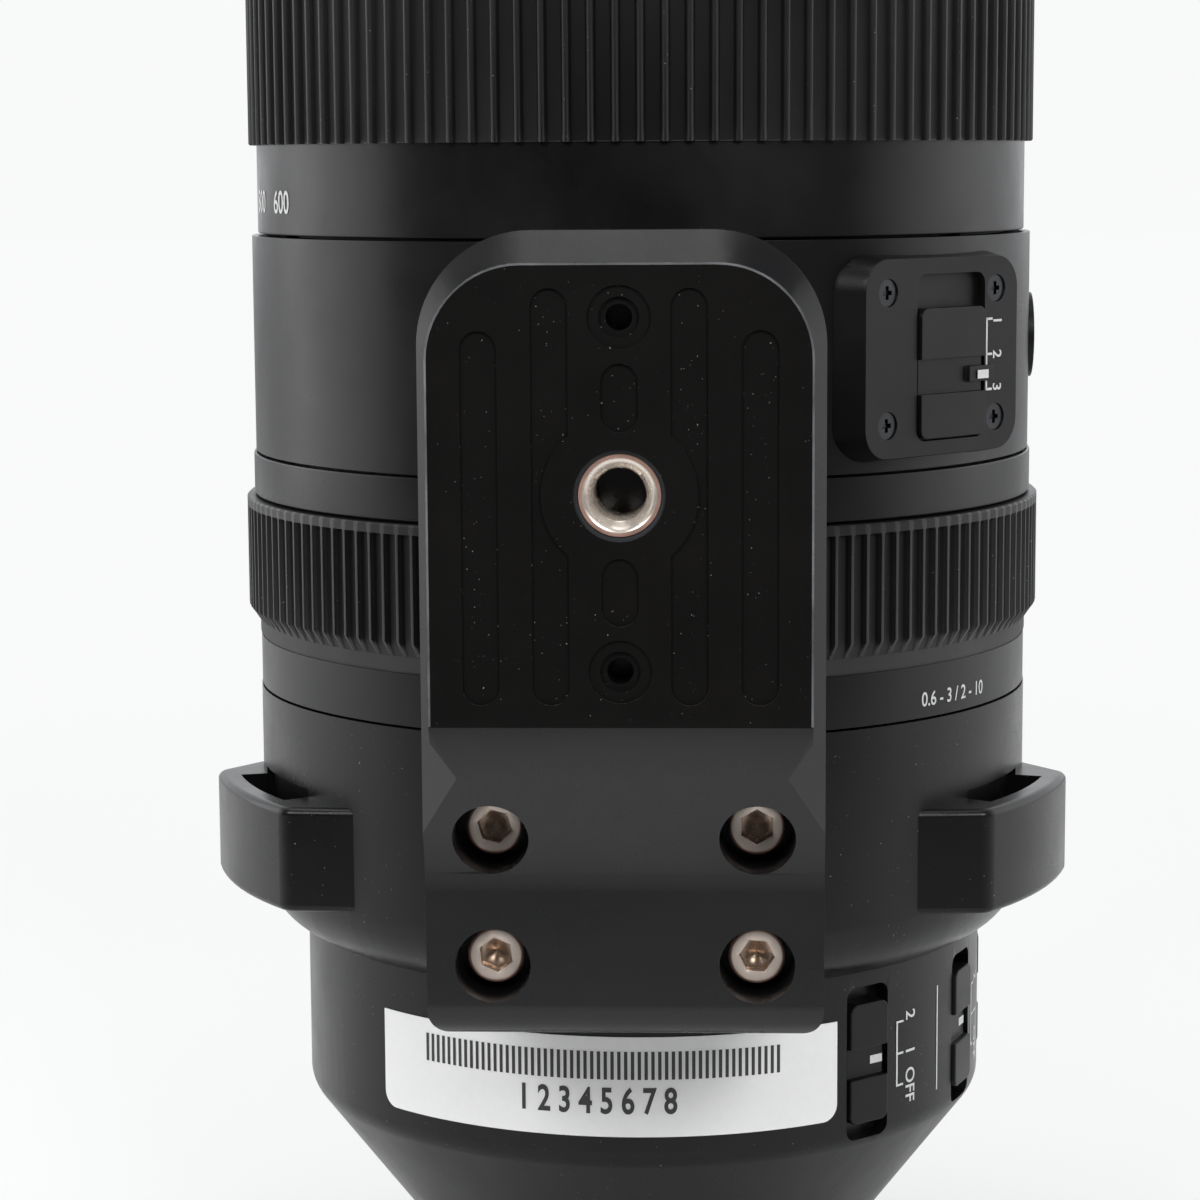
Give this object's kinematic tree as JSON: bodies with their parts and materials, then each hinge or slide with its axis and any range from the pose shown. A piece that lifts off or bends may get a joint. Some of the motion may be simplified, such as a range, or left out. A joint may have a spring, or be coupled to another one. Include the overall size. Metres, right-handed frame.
{
  "type": "camera zoom lens",
  "caption": "Long telephoto zoom lens with ribbed zoom and focus rings, a turning tripod collar with a dovetail foot, slide switches and an extending front barrel.",
  "frame": {"origin": "on the optical axis at the face of the lens mount's flange, which rests on the camera", "axes": "+Z along the optical axis to the front of the lens; -Y from the axis to the tripod foot; +X to the right when the foot faces the viewer and the front is up"},
  "size_m": [0.1164, 0.153, 0.2676],
  "materials": {
    "satin_black": "fine satin black coating on aluminium",
    "composite_black": "satin black composite",
    "foot_black": "satin black anodised aluminium",
    "rubber_black": "matt ribbed rubber",
    "panel_black": "smooth satin black plastic",
    "slider_black": "smooth black plastic",
    "inner_black": "matt black anodised aluminium",
    "mount_metal": "turned satin metal",
    "bright_steel": "bright stainless steel",
    "black_steel": "black steel",
    "contact_gold": "gold plated",
    "black_plastic": "moulded black plastic",
    "seal_rubber": "soft black rubber",
    "board_green": "solder resist over glass fibre",
    "front_coated": "coated optical glass",
    "inner_glass": "coated optical glass",
    "blade_metal": "blackened spring steel",
    "paper_white": "white label stock"
  },
  "bodies": {
    "barrel": {"mount_plate": "mount_metal", "mount_screws": "bright_steel", "mount_seal": "seal_rubber", "contact_block": "black_plastic", "contact_pins": "contact_gold", "rear_housing": "satin_black", "stock_label": "paper_white", "rear_baffle": "black_plastic", "rear_cell": "inner_black", "rear_glass": "inner_glass", "circuit_board": "board_green", "focus_base": "inner_black", "focus_rods": "bright_steel", "focus_motor": "black_plastic", "iris_housing": "inner_black", "chassis": "satin_black", "guide_barrel": "inner_black", "outer_sleeve": "composite_black", "lower_band": "composite_black", "control_band": "composite_black", "torque_panel": "panel_black", "panel_screws": "black_steel"},
    "iris_drive": {"iris_ring": "inner_black"},
    "focus_group": {"focus_cell": "inner_black", "focus_glass": "inner_glass"},
    "focus_ring": {"focus_sleeve": "inner_black", "focus_grip": "rubber_black"},
    "zoom_ring": {"cam_barrel": "inner_black", "zoom_sleeve": "composite_black", "zoom_grip": "rubber_black"},
    "front_barrel": {"front_tube": "inner_black", "front_pins": "bright_steel", "front_housing": "composite_black", "front_glass": "front_coated", "retaining_ring": "inner_black"},
    "variator": {"variator_cell": "inner_black", "variator_pins": "bright_steel", "variator_glass": "inner_glass"},
    "collar": {"collar_ring": "satin_black", "foot": "foot_black", "foot_insert": "bright_steel", "foot_screws": "bright_steel"},
    "lock": {"lock_knob": "satin_black"},
    "torque_slider": {"torque_switch": "slider_black"},
    "custom_slider": {"custom_switch": "slider_black"},
    "stabiliser_slider": {"stabiliser_switch": "slider_black"},
    "limiter_slider": {"limiter_switch": "slider_black"},
    "focus_mode_slider": {"focus_mode_switch": "slider_black"},
    "hold_side": {"hold_button_side": "slider_black"},
    "hold_top": {"hold_button_top": "slider_black"},
    "hold_bottom": {"hold_button_bottom": "slider_black"},
    "blade_1": {"iris_blade_1": "blade_metal"},
    "blade_2": {"iris_blade_2": "blade_metal"},
    "blade_3": {"iris_blade_3": "blade_metal"},
    "blade_4": {"iris_blade_4": "blade_metal"},
    "blade_5": {"iris_blade_5": "blade_metal"},
    "blade_6": {"iris_blade_6": "blade_metal"},
    "blade_7": {"iris_blade_7": "blade_metal"},
    "blade_8": {"iris_blade_8": "blade_metal"},
    "blade_9": {"iris_blade_9": "blade_metal"}
  },
  "joints": [
    {"name": "zoom_turn", "type": "hinge", "parent": "barrel", "child": "zoom_ring", "pos_m": [0, 0, 0.19], "axis": [0, 0, -1], "range_deg": [0, 75]},
    {"name": "front_slide", "type": "slide", "parent": "barrel", "child": "front_barrel", "axis": [0, 0, 1], "range_m": [0, 0.095]},
    {"name": "variator_slide", "type": "slide", "parent": "barrel", "child": "variator", "axis": [0, 0, 1], "range_m": [0, 0.045]},
    {"name": "focus_turn", "type": "hinge", "parent": "barrel", "child": "focus_ring", "pos_m": [0, 0, 0.102], "axis": [0, 0, 1], "continuous": true},
    {"name": "focus_slide", "type": "slide", "parent": "barrel", "child": "focus_group", "axis": [0, 0, 1], "range_m": [0, 0.014]},
    {"name": "collar_turn", "type": "hinge", "parent": "barrel", "child": "collar", "pos_m": [0, 0, 0.07], "axis": [0, 0, 1], "continuous": true},
    {"name": "lock_turn", "type": "hinge", "parent": "collar", "child": "lock", "pos_m": [0.03, 0.05196, 0.07], "axis": [0.5, 0.866, 0], "range_deg": [0, 360]},
    {"name": "torque_slide", "type": "slide", "parent": "barrel", "child": "torque_slider", "axis": [0, 0, 1], "range_m": [0, 0.004]},
    {"name": "iris_turn", "type": "hinge", "parent": "barrel", "child": "iris_drive", "pos_m": [0, 0, 0.085], "axis": [0, 0, 1], "range_deg": [0, 5.42]},
    {"name": "custom_slide", "type": "slide", "parent": "barrel", "child": "custom_slider", "axis": [0, 0, 1], "range_m": [-0.002, 0.002]},
    {"name": "stabiliser_slide", "type": "slide", "parent": "barrel", "child": "stabiliser_slider", "axis": [0, 0, 1], "range_m": [-0.002, 0.002]},
    {"name": "limiter_slide", "type": "slide", "parent": "barrel", "child": "limiter_slider", "axis": [0, 0, 1], "range_m": [-0.002, 0.002]},
    {"name": "focus_mode_slide", "type": "slide", "parent": "barrel", "child": "focus_mode_slider", "axis": [0, 0, 1], "range_m": [-0.002, 0.002]},
    {"name": "hold_side_press", "type": "slide", "parent": "barrel", "child": "hold_side", "axis": [-1, 0, 0], "range_m": [0, 0.0004], "stiffness_N_per_m": 1500},
    {"name": "hold_top_press", "type": "slide", "parent": "barrel", "child": "hold_top", "axis": [0, -1, 0], "range_m": [0, 0.0004], "stiffness_N_per_m": 1500},
    {"name": "hold_bottom_press", "type": "slide", "parent": "barrel", "child": "hold_bottom", "axis": [0, 1, 0], "range_m": [0, 0.0004], "stiffness_N_per_m": 1500},
    {"name": "blade_1_swing", "type": "hinge", "parent": "barrel", "child": "blade_1", "pos_m": [0, -0.027, 0.083], "axis": [0, 0, 1], "range_deg": [0, 30]},
    {"name": "blade_2_swing", "type": "hinge", "parent": "barrel", "child": "blade_2", "pos_m": [0.01736, -0.02068, 0.083], "axis": [0, 0, 1], "range_deg": [0, 30]},
    {"name": "blade_3_swing", "type": "hinge", "parent": "barrel", "child": "blade_3", "pos_m": [0.02659, -0.00469, 0.083], "axis": [0, 0, 1], "range_deg": [0, 30]},
    {"name": "blade_4_swing", "type": "hinge", "parent": "barrel", "child": "blade_4", "pos_m": [0.02338, 0.0135, 0.083], "axis": [0, 0, 1], "range_deg": [0, 30]},
    {"name": "blade_5_swing", "type": "hinge", "parent": "barrel", "child": "blade_5", "pos_m": [0.00923, 0.02537, 0.083], "axis": [0, 0, 1], "range_deg": [0, 30]},
    {"name": "blade_6_swing", "type": "hinge", "parent": "barrel", "child": "blade_6", "pos_m": [-0.00923, 0.02537, 0.083], "axis": [0, 0, 1], "range_deg": [0, 30]},
    {"name": "blade_7_swing", "type": "hinge", "parent": "barrel", "child": "blade_7", "pos_m": [-0.02338, 0.0135, 0.083], "axis": [0, 0, 1], "range_deg": [0, 30]},
    {"name": "blade_8_swing", "type": "hinge", "parent": "barrel", "child": "blade_8", "pos_m": [-0.02659, -0.00469, 0.083], "axis": [0, 0, 1], "range_deg": [0, 30]},
    {"name": "blade_9_swing", "type": "hinge", "parent": "barrel", "child": "blade_9", "pos_m": [-0.01736, -0.02068, 0.083], "axis": [0, 0, 1], "range_deg": [0, 30]}
  ],
  "couplings": [
    {"joint": "front_slide", "follows": "zoom_turn", "m_per_rad": 0.072575},
    {"joint": "variator_slide", "follows": "zoom_turn", "m_per_rad": 0.034377},
    {"joint": "blade_1_swing", "follows": "iris_turn", "ratio": 5.533},
    {"joint": "blade_2_swing", "follows": "iris_turn", "ratio": 5.533},
    {"joint": "blade_3_swing", "follows": "iris_turn", "ratio": 5.533},
    {"joint": "blade_4_swing", "follows": "iris_turn", "ratio": 5.533},
    {"joint": "blade_5_swing", "follows": "iris_turn", "ratio": 5.533},
    {"joint": "blade_6_swing", "follows": "iris_turn", "ratio": 5.533},
    {"joint": "blade_7_swing", "follows": "iris_turn", "ratio": 5.533},
    {"joint": "blade_8_swing", "follows": "iris_turn", "ratio": 5.533},
    {"joint": "blade_9_swing", "follows": "iris_turn", "ratio": 5.533}
  ]
}
